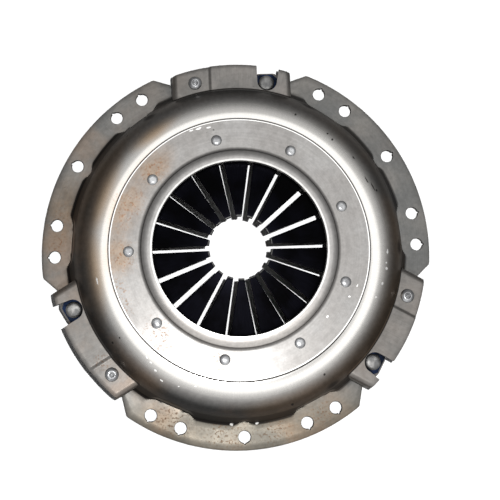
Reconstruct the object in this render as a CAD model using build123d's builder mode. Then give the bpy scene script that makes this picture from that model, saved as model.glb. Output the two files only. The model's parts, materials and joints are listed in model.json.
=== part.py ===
import os
from math import cos, radians, sin, sqrt, tan

from build123d import *

os.makedirs("parts", exist_ok=True)

# Diaphragm-spring clutch pressure plate, in millimetres.
# Z runs from the flywheel to the gearbox. The cover's mounting face lies on z = 0,
# the clutch's axis is Z, and one of the three lobes points along +Y.

# Bolt holes: three sectors of five holes on one circle
bolt_pitch_diameter = 254.0
bolt_hole = 8.5
sector_count = 3
bolt_angles = (-30.0, -20.0, 0.0, 20.0, 30.0)
bolt_pocket_radius = 11.2

# Pressed steel cover
sheet = 3.5
flange_margin = 8.9
cover_height = 38.0
foot_setback = 9.0
wall_angle = 72.0
foot_bend = 3.0
dome_bend = 26.0
rim_setback = 7.8
rim_width = 7.8
rim_rise = 3.2
rim_start_angle = 48.0
rim_end_angle = 6.0
rim_crease_bend = 0.8
rim_roll_bend = 8.0

# Lobes: raised bridges that carry the drive straps, one between each two sectors
first_lobe_angle = 90.0
lobe_overhang = 1.5
lobe_half_width = 42.2
lobe_lean = 2.5
lobe_height = 25.0
pad_drop = 1.2
pad_edge = 14.2
step_run = 1.4
lobe_bend = 4.2
step_bend = 1.0
lobe_root_depth = 26.0
corner_angle = 24.0
corner_setback = 8.5
notch_radius = 6.9
notch_flare = 12.0

# Drive straps, three leaves to a pack
leaf_count = 3
leaf_thickness = 0.8
strap_width = 13.0
strap_inset = 12.3
strap_cover_offset = 25.6
strap_lug_offset = 24.7
strap_end = 8.0
strap_corner = 3.2
strap_flat = 8.5
strap_bend = 30.0
strap_drop = 4.5

# Strap rivets
cover_rivet_shank = 6.0
cover_rivet_head = 9.3
cover_rivet_height = 2.2
cover_rivet_dimple = 3.0
cover_rivet_dimple_depth = 0.8
cover_rivet_foot = 10.0
cover_rivet_foot_height = 2.0
lug_rivet_shank = 6.4
lug_rivet_head = 11.0
lug_rivet_height = 3.0
lug_rivet_foot = 10.0
lug_rivet_foot_height = 2.0

# Diaphragm spring
finger_count = 18
spring_thickness = 2.6
spring_angle = 11.5
spring_room = 21.0
fingertip_chamfer = 0.8
finger_bore_radius = 20.6
slot_width = 3.4
window_width = 9.6
window_length = 10.5
window_corner = 3.0
first_slot_angle = 0.0

# Pivot rivets and the two fulcrum rings
pivot_count = 9
pivot_setback = 23.0
first_pivot_angle = 20.0
pivot_shank = 6.0
pivot_shoulder = 7.0
pivot_head = 7.2
pivot_head_height = 1.5
pivot_foot = 16.0
pivot_foot_height = 2.5
ring_wire = 4.0
ring_clearance = 0.1
seat_clearance = 0.02

# Cast pressure plate
plate_room = 9.2
plate_bore_radius = 72.0
plate_face_height = 4.0
plate_thickness = 11.0
plate_edge_thickness = 7.0
plate_shoulder = 8.8
plate_edge_chamfer = 1.0
ridge_inset = 2.5
ridge_width = 6.0
ridge_clearance = 0.1
ridge_gap_count = 12
ridge_gap_width = 9.0
lug_half_width = 9.6
lug_margin = 7.8
lug_overlap = 12.8
lug_corner = 5.0
lug_foot_height = 4.2

# Places that follow from the sizes above
bolt_radius = bolt_pitch_diameter / 2
flange_radius = bolt_radius + flange_margin
foot_radius = bolt_radius - foot_setback
spring_outer_radius = foot_radius - spring_room
pivot_radius = spring_outer_radius - pivot_setback
rim_radius = pivot_radius - rim_setback
opening_radius = rim_radius - rim_width
lobe_root = foot_radius - lobe_root_depth
lobe_trim_radius = bolt_radius + lobe_overhang
strap_line = lobe_trim_radius - strap_inset
sector_step = 360.0 / sector_count
first_sector_angle = first_lobe_angle - sector_step / 2
lobe_angles = [first_lobe_angle + lobe * sector_step for lobe in range(sector_count)]
pad_height = lobe_height - pad_drop
annulus_underside = cover_height - sheet
strap_cover_top = pad_height - sheet
strap_lug_top = strap_cover_top - strap_drop
strap_stack = leaf_count * leaf_thickness
lug_seat_height = strap_lug_top - strap_stack
ring_radius = pivot_radius + (pivot_shoulder + ring_wire) / 2 + ring_clearance
ring_upper_height = annulus_underside - ring_wire / 2 - seat_clearance
ring_to_spring = ((ring_wire + spring_thickness) / 2 + seat_clearance) / cos(radians(spring_angle))
spring_pivot_height = ring_upper_height - ring_to_spring
ring_lower_height = spring_pivot_height - ring_to_spring
pivot_foot_top = ring_lower_height - ring_wire / 2 - seat_clearance
plate_radius = foot_radius - plate_room
plate_shoulder_radius = plate_radius - plate_shoulder
plate_back_height = plate_face_height + plate_thickness
ridge_radius = spring_outer_radius - ridge_inset
lug_reach = strap_line + lug_margin
lug_root = plate_radius - lug_overlap


def spring_height(radius):
    """Height of the middle of the spring's plate at a radius, as it lies free."""
    return spring_pivot_height + (ring_radius - radius) * tan(radians(spring_angle))


def rim_corner():
    """Where the rim's steep start and its nearly level end would meet, outside their roll."""
    start_slope = tan(radians(rim_start_angle))
    end_slope = tan(radians(rim_end_angle))
    run = (rim_rise - rim_width * end_slope) / (start_slope - end_slope)
    return rim_radius - run, cover_height + run * start_slope


def skin(depth):
    """Corners and bend radii of the cover's skin, a depth under its outer face."""
    wall_shift = depth * tan(radians(wall_angle / 2))
    crease_shift = depth * tan(radians(rim_start_angle / 2))
    roll_shift = depth / cos(radians((rim_start_angle - rim_end_angle) / 2))
    roll_lean = radians((rim_start_angle + rim_end_angle) / 2)
    roll_radius, roll_height = rim_corner()
    dome_corner = foot_radius - (cover_height - sheet) / tan(radians(wall_angle))
    corners = [
        (flange_radius + sheet, sheet - depth),
        (foot_radius - wall_shift, sheet - depth),
        (dome_corner - wall_shift, cover_height - depth),
        (rim_radius - crease_shift, cover_height - depth),
        (roll_radius - roll_shift * sin(roll_lean), roll_height - roll_shift * cos(roll_lean)),
        (
            opening_radius - depth * sin(radians(rim_end_angle)),
            cover_height + rim_rise - depth * cos(radians(rim_end_angle)),
        ),
    ]
    bends = [foot_bend + depth, dome_bend - depth, rim_crease_bend + depth, rim_roll_bend - depth]
    return corners, bends


def lobe_outline(depth, bottom):
    """Corners and bend radii across a lobe, a depth under its outer face."""
    lean = tan(radians(lobe_lean))
    side = lobe_half_width - depth / cos(radians(lobe_lean))
    top = lobe_height - depth
    pad_top = pad_height - depth
    corners = [
        (-side + bottom * lean, bottom),
        (-side + top * lean, top),
        (pad_edge, top),
        (pad_edge + step_run, pad_top),
        (side - pad_top * lean, pad_top),
        (side - bottom * lean, bottom),
    ]
    return corners, [lobe_bend - depth, step_bend, step_bend, lobe_bend - depth]


def sector_pockets(radius):
    """Pockets round one sector's bolts; two that run into each other become one."""
    for angle in bolt_angles:
        with PolarLocations(bolt_radius, 1, start_angle=angle):
            Circle(radius)
    for first, second in zip(bolt_angles, bolt_angles[1:]):
        half_step = radians((second - first) / 2)
        apart = 2 * bolt_radius * sin(half_step)
        if apart < 2 * bolt_pocket_radius:
            with PolarLocations(bolt_radius * cos(half_step), 1, start_angle=(first + second) / 2):
                SlotCenterToCenter(apart, 2 * radius, rotation=90)


def across_lobe(distance, angle):
    """Plane square to a lobe's centre line: x runs across the lobe and y is up."""
    along = Vector(1, 0, 0).rotate(Axis.Z, angle)
    return Plane(origin=along * distance, x_dir=along.rotate(Axis.Z, 90), z_dir=along)


def over_lobe(height, angle):
    """Level plane whose x runs out along a lobe's centre line."""
    return Plane(origin=(0, 0, height), x_dir=Vector(1, 0, 0).rotate(Axis.Z, angle))


def crown(radius, low, top):
    """Domed top of a rivet head, from its rim to the axis."""
    sphere = (radius**2 + (top - low) ** 2) / (2 * (top - low))
    drop = sphere - sqrt(sphere**2 - radius**2 / 4)
    return ThreePointArc((radius, low), (radius / 2, top - drop), (0, top))


def save(part, name):
    part.label = name
    export_step(part, f"parts/{name}.step")


def save_at_lobes(part, name):
    """One copy for each lobe, from a part made round the +X direction."""
    for number, angle in enumerate(lobe_angles, start=1):
        save(part.rotate(Axis.Z, angle), f"{name}_{number}")


# Cover, from outside: the pressed dome, flange and raised rim as one full body
with BuildPart() as cover:
    with BuildSketch(Plane.XZ):
        with BuildLine():
            corners, bends = skin(0)
            FilletPolyline(*corners, radius=bends)
            inner_end = skin(sheet)[0][-1]
            Polyline(corners[-1], inner_end, (inner_end[0], 0), (corners[0][0], 0), corners[0])
        make_face()
    revolve(axis=Axis.Z)

    # The flange's round edge, cut back beside each lobe
    with BuildSketch():
        Circle(flange_radius + 2 * sheet)
        Circle(flange_radius, mode=Mode.SUBTRACT)
    extrude(amount=sheet, mode=Mode.SUBTRACT)
    with BuildSketch(*[over_lobe(0, angle) for angle in lobe_angles]):
        corner = (flange_radius * cos(radians(corner_angle)), flange_radius * sin(radians(corner_angle)))
        foot = (lobe_trim_radius - corner_setback, lobe_half_width)
        beyond = (2 * corner[0] - foot[0], 2 * corner[1] - foot[1])
        far = 2 * flange_radius
        Polygon(
            foot, beyond, (far, beyond[1]), (far, -beyond[1]), (beyond[0], -beyond[1]),
            (foot[0], -foot[1]), align=None,
        )
    extrude(amount=sheet, mode=Mode.SUBTRACT)

    # Pockets that clear the bolt heads
    with BuildSketch(Plane.XY.offset(sheet)):
        with PolarLocations(0, sector_count, start_angle=first_sector_angle):
            sector_pockets(bolt_pocket_radius)
    extrude(amount=cover_height, mode=Mode.SUBTRACT)

# The lobes' outer form, made apart so that their round trim leaves the flange whole
with BuildPart() as lobes:
    with BuildSketch(*[across_lobe(lobe_root, angle) for angle in lobe_angles]):
        with BuildLine():
            corners, bends = lobe_outline(0, 0)
            FilletPolyline(*corners, radius=bends)
            Line(corners[-1], corners[0])
        make_face()
    extrude(amount=flange_radius - lobe_root)
    with BuildSketch(Plane.XY):
        Circle(lobe_trim_radius)
    extrude(amount=2 * cover_height, mode=Mode.INTERSECT)

# The hollow under the skin, with the lobes open to the outside
with BuildPart() as hollow:
    with BuildSketch(Plane.XZ):
        with BuildLine():
            corners, bends = skin(sheet)
            FilletPolyline(*corners, radius=bends)
            Polyline(
                corners[-1], (corners[-1][0], -sheet), (corners[0][0], -sheet), corners[0]
            )
        make_face()
    revolve(axis=Axis.Z)
    with BuildSketch(Plane.XY.offset(-sheet)):
        with PolarLocations(0, sector_count, start_angle=first_sector_angle):
            sector_pockets(bolt_pocket_radius + sheet)
    extrude(amount=cover_height, mode=Mode.SUBTRACT)
    with BuildSketch(*[across_lobe(lobe_root, angle) for angle in lobe_angles]):
        with BuildLine():
            corners, bends = lobe_outline(sheet, -sheet)
            FilletPolyline(*corners, radius=bends)
            Line(corners[-1], corners[0])
        make_face()
    extrude(amount=flange_radius)

with BuildPart() as finished_cover:
    add(cover.part)
    add(lobes.part)
    add(hollow.part, mode=Mode.SUBTRACT)
    # Notch over each lug rivet, open to the lobe's edge
    with BuildSketch(*[over_lobe(sheet, angle) for angle in lobe_angles]):
        with Locations((strap_line, -strap_lug_offset)):
            Circle(notch_radius)
            reach = flange_radius - strap_line
            flare = reach * tan(radians(notch_flare))
            Polygon(
                (0, notch_radius),
                (reach, notch_radius),
                (reach, -notch_radius - flare),
                (0, -notch_radius),
                align=None,
            )
    extrude(amount=cover_height, mode=Mode.SUBTRACT)
    # Bolt holes
    with BuildSketch(Plane.XY):
        with PolarLocations(0, sector_count, start_angle=first_sector_angle):
            for angle in bolt_angles:
                with PolarLocations(bolt_radius, 1, start_angle=angle):
                    Circle(bolt_hole / 2)
    extrude(amount=sheet, mode=Mode.SUBTRACT)
    # Holes for the strap rivets and the pivot rivets
    with BuildSketch(Plane.XY.offset(sheet)):
        with PolarLocations(0, sector_count, start_angle=first_lobe_angle):
            with Locations((strap_line, strap_cover_offset)):
                Circle(cover_rivet_shank / 2)
        with PolarLocations(pivot_radius, pivot_count, start_angle=first_pivot_angle):
            Circle(pivot_shank / 2)
    extrude(amount=cover_height, mode=Mode.SUBTRACT)
save(finished_cover.part, "cover")

# Diaphragm spring: one coned disc, slit into fingers from its bore to a ring of windows
with BuildPart() as diaphragm_spring:
    with BuildSketch(Plane.XZ):
        with BuildLine():
            half = spring_thickness / 2
            bore_end = (finger_bore_radius, spring_height(finger_bore_radius))
            rim_end = (spring_outer_radius, spring_height(spring_outer_radius))
            lean = radians(spring_angle)
            across = (half * sin(lean), half * cos(lean))
            tip = (bore_end[0] + across[0], bore_end[1] + across[1])
            Polyline(
                (bore_end[0] - across[0], bore_end[1] - across[1]),
                (rim_end[0] - across[0], rim_end[1] - across[1]),
                (rim_end[0] + across[0], rim_end[1] + across[1]),
                (tip[0] + fingertip_chamfer * cos(lean), tip[1] - fingertip_chamfer * sin(lean)),
                (tip[0] - fingertip_chamfer * sin(lean), tip[1] - fingertip_chamfer * cos(lean)),
                close=True,
            )
        make_face()
    revolve(axis=Axis.Z)
    with BuildSketch(Plane.XY):
        with PolarLocations(pivot_radius, finger_count, start_angle=first_slot_angle):
            RectangleRounded(window_length, window_width, window_corner)
        with PolarLocations(pivot_radius / 2, finger_count, start_angle=first_slot_angle):
            Rectangle(pivot_radius, slot_width)
    extrude(amount=2 * cover_height, mode=Mode.SUBTRACT)
save(diaphragm_spring.part, "diaphragm_spring")

# The two wire rings that the spring rocks between
for ring_name, ring_height in (
    ("fulcrum_ring_upper", ring_upper_height),
    ("fulcrum_ring_lower", ring_lower_height),
):
    with BuildPart() as fulcrum_ring:
        with BuildSketch(Plane.XZ):
            with Locations((ring_radius, ring_height)):
                Circle(ring_wire / 2)
        revolve(axis=Axis.Z)
    save(fulcrum_ring.part, ring_name)

# Pivot rivets: head on the cover, shoulder through a window, broad foot under the rings
with BuildPart() as pivot_rivet:
    with BuildSketch(Plane.XZ):
        with BuildLine():
            head_top = cover_height + pivot_head_height
            Polyline(
                (0, head_top),
                (0, pivot_foot_top - pivot_foot_height),
                (pivot_foot / 2, pivot_foot_top - pivot_foot_height),
                (pivot_foot / 2, pivot_foot_top),
                (pivot_shoulder / 2, pivot_foot_top),
                (pivot_shoulder / 2, annulus_underside),
                (pivot_shank / 2, annulus_underside),
                (pivot_shank / 2, cover_height),
                (pivot_head / 2, cover_height),
            )
            rim = cover_height + pivot_head_height / 3
            Line((pivot_head / 2, cover_height), (pivot_head / 2, rim))
            crown(pivot_head / 2, rim, head_top)
        make_face()
    revolve(axis=Axis.Z)
    foot_edges = pivot_rivet.edges().filter_by(GeomType.CIRCLE).group_by(Axis.Z)[0]
    chamfer(foot_edges, length=pivot_foot_height / 4)
for pivot in range(pivot_count):
    angle = radians(first_pivot_angle + pivot * 360 / pivot_count)
    place = Location((pivot_radius * cos(angle), pivot_radius * sin(angle), 0))
    save(pivot_rivet.part.moved(place), f"pivot_rivet_{pivot + 1}")

# Pressure plate: a cast ring with a broken ridge for the spring and three lugs
with BuildPart() as pressure_plate:
    with BuildSketch(Plane.XZ):
        Polygon(
            (plate_bore_radius, plate_face_height),
            (plate_radius, plate_face_height),
            (plate_radius, plate_face_height + plate_edge_thickness),
            (plate_shoulder_radius, plate_back_height),
            (plate_bore_radius, plate_back_height),
            align=None,
        )
    revolve(axis=Axis.Z)
    chamfer(
        pressure_plate.edges().filter_by(GeomType.CIRCLE).group_by(Axis.Z)[0],
        length=plate_edge_chamfer,
    )
    # Ridge, with gaps that let air through
    ridge_underside = spring_height(ridge_radius) - spring_thickness / 2 / cos(radians(spring_angle))
    ridge_top = ridge_underside - ridge_clearance
    with BuildSketch(Plane.XZ):
        with BuildLine():
            half = ridge_width / 2
            Polyline(
                (ridge_radius - half, ridge_top - half),
                (ridge_radius - half, plate_face_height + plate_edge_chamfer),
                (ridge_radius + half, plate_face_height + plate_edge_chamfer),
                (ridge_radius + half, ridge_top - half),
            )
            ThreePointArc(
                (ridge_radius + half, ridge_top - half),
                (ridge_radius, ridge_top),
                (ridge_radius - half, ridge_top - half),
            )
        make_face()
    revolve(axis=Axis.Z)
    with BuildSketch(Plane.XY.offset(plate_back_height)):
        with PolarLocations(ridge_radius, ridge_gap_count):
            Rectangle(2 * ridge_width, ridge_gap_width)
    extrude(amount=cover_height, mode=Mode.SUBTRACT)
    # Lugs that reach out under the lobes
    with BuildSketch(Plane.XY.offset(lug_foot_height)):
        with PolarLocations(0, sector_count, start_angle=first_lobe_angle):
            with Locations(((lug_root + lug_reach) / 2, -strap_lug_offset)):
                RectangleRounded(lug_reach - lug_root, 2 * lug_half_width, lug_corner)
    extrude(amount=lug_seat_height - lug_foot_height)
    with BuildSketch(Plane.XY):
        with PolarLocations(0, sector_count, start_angle=first_lobe_angle):
            with Locations((strap_line, -strap_lug_offset)):
                Circle(lug_rivet_shank / 2)
    extrude(amount=cover_height, mode=Mode.SUBTRACT)
save(pressure_plate.part, "pressure_plate")

# Drive straps: leaves that step down from the cover's pad to the plate's lug
for leaf in range(leaf_count):
    with BuildPart() as strap_leaf:
        top = strap_cover_top - leaf * leaf_thickness
        with BuildSketch(across_lobe(strap_line - strap_width / 2, 0)):
            with BuildLine():
                corners = [
                    (strap_cover_offset + strap_end, top),
                    (strap_cover_offset - strap_flat, top),
                    (strap_flat - strap_lug_offset, top - strap_drop),
                    (-strap_lug_offset - strap_end, top - strap_drop),
                ]
                lower = [(x, y - leaf_thickness) for x, y in corners]
                FilletPolyline(*corners, radius=strap_bend)
                FilletPolyline(*lower, radius=strap_bend)
                Line(corners[0], lower[0])
                Line(corners[-1], lower[-1])
            make_face()
        extrude(amount=strap_width)
        ends = strap_leaf.edges().filter_by(Axis.Z)
        chamfer(ends, length=strap_corner)
        with BuildSketch(Plane.XY):
            with Locations((strap_line, strap_cover_offset)):
                Circle(cover_rivet_shank / 2)
            with Locations((strap_line, -strap_lug_offset)):
                Circle(lug_rivet_shank / 2)
        extrude(amount=cover_height, mode=Mode.SUBTRACT)
    save_at_lobes(strap_leaf.part, f"strap_leaf_{'abc'[leaf]}")

# Rivets that hold the straps to the cover's pads, dimpled on top
with BuildPart() as cover_strap_rivet:
    with BuildSketch(Plane.XZ):
        with BuildLine():
            radius = cover_rivet_head / 2
            seat = strap_cover_top - strap_stack
            head_top = pad_height + cover_rivet_height
            dimple_floor = head_top - cover_rivet_dimple_depth
            Polyline(
                (0, dimple_floor),
                (0, seat - cover_rivet_foot_height),
                (cover_rivet_foot / 2, seat - cover_rivet_foot_height),
                (cover_rivet_foot / 2, seat),
                (cover_rivet_shank / 2, seat),
                (cover_rivet_shank / 2, pad_height),
                (radius, pad_height),
                (radius, pad_height + cover_rivet_height / 4),
            )
            RadiusArc(
                (radius, pad_height + cover_rivet_height / 4),
                (cover_rivet_dimple / 2, head_top),
                -radius,
            )
            Line((cover_rivet_dimple / 2, head_top), (0, dimple_floor))
        make_face()
    revolve(axis=Axis.Z)
    foot_edges = cover_strap_rivet.edges().filter_by(GeomType.CIRCLE).group_by(Axis.Z)[0]
    chamfer(foot_edges, length=cover_rivet_foot_height / 3)
place = Location((strap_line, strap_cover_offset, 0))
save_at_lobes(cover_strap_rivet.part.moved(place), "cover_strap_rivet")

# Rivets that hold the straps to the plate's lugs, under the notches
with BuildPart() as lug_rivet:
    with BuildSketch(Plane.XZ):
        with BuildLine():
            radius = lug_rivet_head / 2
            Polyline(
                (0, strap_lug_top + lug_rivet_height),
                (0, lug_foot_height - lug_rivet_foot_height),
                (lug_rivet_foot / 2, lug_foot_height - lug_rivet_foot_height),
                (lug_rivet_foot / 2, lug_foot_height),
                (lug_rivet_shank / 2, lug_foot_height),
                (lug_rivet_shank / 2, strap_lug_top),
                (radius, strap_lug_top),
                (radius, strap_lug_top + lug_rivet_height / 3),
            )
            crown(radius, strap_lug_top + lug_rivet_height / 3, strap_lug_top + lug_rivet_height)
        make_face()
    revolve(axis=Axis.Z)
    foot_edges = lug_rivet.edges().filter_by(GeomType.CIRCLE).group_by(Axis.Z)[0]
    chamfer(foot_edges, length=lug_rivet_foot_height / 3)
place = Location((strap_line, -strap_lug_offset, 0))
save_at_lobes(lug_rivet.part.moved(place), "lug_rivet")
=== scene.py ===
import json
import math

import bmesh
import bpy
import numpy as np
from mathutils import Matrix, Vector


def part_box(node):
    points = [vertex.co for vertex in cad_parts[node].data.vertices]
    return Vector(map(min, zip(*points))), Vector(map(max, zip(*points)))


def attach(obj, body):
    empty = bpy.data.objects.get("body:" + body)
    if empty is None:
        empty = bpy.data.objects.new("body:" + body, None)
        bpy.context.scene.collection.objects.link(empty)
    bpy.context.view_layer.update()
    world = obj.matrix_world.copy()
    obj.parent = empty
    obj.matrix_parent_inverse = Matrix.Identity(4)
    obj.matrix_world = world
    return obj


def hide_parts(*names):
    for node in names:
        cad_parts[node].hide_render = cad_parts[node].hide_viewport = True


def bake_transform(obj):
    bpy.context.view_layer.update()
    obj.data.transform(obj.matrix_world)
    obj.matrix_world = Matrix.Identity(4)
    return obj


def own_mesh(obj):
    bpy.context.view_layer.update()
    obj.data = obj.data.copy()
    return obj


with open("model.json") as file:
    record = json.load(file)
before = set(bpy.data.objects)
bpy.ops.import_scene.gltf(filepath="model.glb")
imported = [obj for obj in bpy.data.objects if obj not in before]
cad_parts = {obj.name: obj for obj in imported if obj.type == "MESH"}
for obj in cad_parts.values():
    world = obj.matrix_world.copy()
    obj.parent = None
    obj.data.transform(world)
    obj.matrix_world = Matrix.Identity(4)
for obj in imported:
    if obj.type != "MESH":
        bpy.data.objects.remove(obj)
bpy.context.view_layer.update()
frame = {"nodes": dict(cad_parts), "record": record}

MM = 0.001
scene = bpy.context.scene

# Camera, found from the holes, rivets and circles of the photograph
camera_place = Vector((-39.1, -40.7, 687.1)) * MM
camera_pitch = math.radians(-8.21)
camera_yaw = math.radians(2.28)
camera_roll = math.radians(2.22)
picture_size = 500.0
focal_pixels = 975.1
centre_pixel = (216.9, 169.5)
camera_turn = (
    Matrix.Rotation(camera_roll, 3, "Z")
    @ Matrix.Rotation(camera_pitch, 3, "X")
    @ Matrix.Rotation(camera_yaw, 3, "Y")
).transposed()


def make_camera():
    data = bpy.data.cameras.new("camera")
    data.sensor_width = 36.0
    data.lens = focal_pixels / picture_size * data.sensor_width
    data.shift_x = (picture_size / 2 - centre_pixel[0]) / picture_size
    data.shift_y = (centre_pixel[1] - picture_size / 2) / picture_size
    data.clip_start = 0.01
    camera = bpy.data.objects.new("camera", data)
    scene.collection.objects.link(camera)
    camera.matrix_world = Matrix.Translation(camera_place) @ camera_turn.to_4x4()
    scene.camera = camera


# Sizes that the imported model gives, in millimetres
def middle(node):
    low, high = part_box(node)
    return (low + high) / 2 / MM


mounts = {mount["name"]: mount for mount in frame["record"]["mounts"]}
bolt_radius = mounts["flywheel_bolts"]["dims"]["pcd_mm"] / 2
bolt_hole_radius = mounts["flywheel_bolts"]["dims"]["hole_r_mm"]
flange_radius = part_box("cover")[1].x / MM
lobe_trim_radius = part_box("cover")[1].y / MM
pivot_radius = middle("pivot_rivet_1").xy.length
spring_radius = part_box("diaphragm_spring")[1].x / MM
strap_line = middle("cover_strap_rivet_1").y
strap_cover_offset = -middle("cover_strap_rivet_1").x
strap_lug_offset = middle("lug_rivet_1").x

# Pressed sheet, in millimetres
sheet = 3.5
cover_height = 38.0
foot_radius = 118.0
wall_angle = math.radians(72.0)
foot_bend = 3.0
dome_bend = 26.0
rim_radius = 66.2
opening_radius = 58.4
rim_rise = 3.2
rim_start_angle = math.radians(48.0)
rim_end_angle = math.radians(6.0)
rim_crease_bend = 0.8
rim_roll_bend = 8.0
lobe_count = 3
first_lobe_angle = math.radians(90.0)
lobe_root = 92.0
lobe_half_width = 42.2
lobe_lean = math.radians(2.5)
lobe_height = 25.0
pad_drop = 1.2
pad_edge = 14.2
step_run = 1.8
lobe_bend = 4.2
step_bend = 1.8
lobe_fillet = 1.6
corner_angle = math.radians(24.0)
corner_setback = 8.5
notch_radius = 6.9
notch_flare = math.radians(12.0)
bolt_angles = (-60.0, -40.0, -30.0, 30.0, 40.0)
pockets = ((-60.0, -60.0, 10.4), (-40.0, -30.0, 11.2), (30.0, 40.0, 11.2), (60.0, 60.0, 10.4))
pocket_lean = math.radians(80.0)
pocket_fillet = 2.2
nick_depth = 0.75
nick_half_width = 0.65
coin_line_radius = 87.4
coin_line_depth = 0.12
edge_chamfer = 0.35
rim_end_radius = opening_radius - sheet * math.sin(rim_end_angle)
below_everything = -20.0


def rounded_line(corners, bends, arc_step=math.radians(3.0)):
    """Points along a line whose inner corners are turned into arcs."""
    corners = [Vector(corner) for corner in corners]
    points = [corners[0]]
    for before, corner, after, bend in zip(corners, corners[1:], corners[2:], bends):
        back = (before - corner).normalized()
        ahead = (after - corner).normalized()
        turn = math.pi - back.angle(ahead)
        centre = corner + (back + ahead).normalized() * bend / math.cos(turn / 2)
        start = corner + back * bend * math.tan(turn / 2) - centre
        end = corner + ahead * bend * math.tan(turn / 2) - centre
        steps = max(2, math.ceil(turn / arc_step))
        for step in range(steps + 1):
            share = step / steps
            weight_start = math.sin((1 - share) * turn) / math.sin(turn)
            weight_end = math.sin(share * turn) / math.sin(turn)
            points.append(centre + start * weight_start + end * weight_end)
    points.append(corners[-1])
    return np.array([tuple(point) for point in points])


def smooth_max(first, second, reach):
    """The larger of two heights, with a fillet where they cross."""
    overlap = np.clip(reach - np.abs(first - second), 0, None) / reach
    return np.maximum(first, second) + overlap**2 * reach / 4


def smooth_min(first, second, reach):
    return -smooth_max(-first, -second, reach)


def smooth_step(value, low, high):
    share = np.clip((value - low) / (high - low), 0, 1)
    return share * share * (3 - 2 * share)


def dome_profile(depth):
    """Section of the dome from the flange to the opening, a depth under the outer face."""
    wall_shift = depth * math.tan(wall_angle / 2)
    crease_shift = depth * math.tan(rim_start_angle / 2)
    roll_shift = depth / math.cos((rim_start_angle - rim_end_angle) / 2)
    roll_lean = (rim_start_angle + rim_end_angle) / 2
    start_slope = math.tan(rim_start_angle)
    end_slope = math.tan(rim_end_angle)
    run = (rim_rise - (rim_radius - opening_radius) * end_slope) / (start_slope - end_slope)
    roll_radius = rim_radius - run
    roll_height = cover_height + run * start_slope
    rim_top = cover_height + rim_rise
    dome_corner = foot_radius - (cover_height - sheet) / math.tan(wall_angle)
    corners = [
        (flange_radius + sheet, sheet - depth),
        (foot_radius - wall_shift, sheet - depth),
        (dome_corner - wall_shift, cover_height - depth),
        (rim_radius - crease_shift, cover_height - depth),
        (roll_radius - roll_shift * math.sin(roll_lean), roll_height - roll_shift * math.cos(roll_lean)),
        (opening_radius - depth * math.sin(rim_end_angle), rim_top - depth * math.cos(rim_end_angle)),
    ]
    bends = [foot_bend + depth, dome_bend - depth, rim_crease_bend + depth, rim_roll_bend - depth]
    line = rounded_line(corners, bends)
    if depth == 0:
        cut_edge = (rim_end_radius, line[-1][1] - sheet * math.cos(rim_end_angle))
        line = np.vstack([line, cut_edge])
    return line[::-1]


def lobe_profile(depth):
    """Section across a lobe, from its notch side to its pad side."""
    lean = math.tan(lobe_lean)
    side = lobe_half_width - depth / math.cos(lobe_lean)
    top = lobe_height - depth
    pad_top = top - pad_drop
    corners = [
        (-side + below_everything * lean, below_everything),
        (-side + top * lean, top),
        (pad_edge, top),
        (pad_edge + step_run, pad_top),
        (side - pad_top * lean, pad_top),
        (side - below_everything * lean, below_everything),
    ]
    return rounded_line(corners, [lobe_bend - depth, step_bend, step_bend, lobe_bend - depth])


def beyond_pocket(along, across, first, last, pocket_radius):
    """Distance outside the pocket that clears one bolt, or two close ones."""
    first_bolt = bolt_radius * np.array([math.cos(math.radians(first)), math.sin(math.radians(first))])
    last_bolt = bolt_radius * np.array([math.cos(math.radians(last)), math.sin(math.radians(last))])
    apart = last_bolt - first_bolt
    share = (along - first_bolt[0]) * apart[0] + (across - first_bolt[1]) * apart[1]
    share = np.clip(share / max(apart @ apart, 1e-9), 0, 1)
    near_x = first_bolt[0] + share * apart[0]
    near_y = first_bolt[1] + share * apart[1]
    return np.hypot(along - near_x, across - near_y) - pocket_radius


def cover_face(radius, angle, depth):
    """Height of the cover's outer face, or of one a depth under it, round a lobe's centre line."""
    along = radius * np.cos(angle)
    across = radius * np.sin(angle)
    profile = dome_profile(depth)
    dome = np.interp(radius, profile[:, 0], profile[:, 1])
    for first, last, pocket_radius in pockets:
        outside = beyond_pocket(along, across, first, last, pocket_radius) - depth
        wall = sheet - depth + np.clip(outside, 0, None) * math.tan(pocket_lean)
        dome = np.where(outside < pocket_radius, smooth_min(dome, wall, pocket_fillet), dome)
    dome = np.maximum(dome, sheet - depth)
    profile = lobe_profile(depth)
    lobe = np.interp(across, profile[:, 0], profile[:, 1])
    height = np.where(along > lobe_root, smooth_max(dome, lobe, lobe_fillet), dome)
    if depth == 0:
        line = np.abs(radius - coin_line_radius)
        height = height - coin_line_depth * (1 - smooth_step(line, 0.1, 0.45))
    return height


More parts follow.
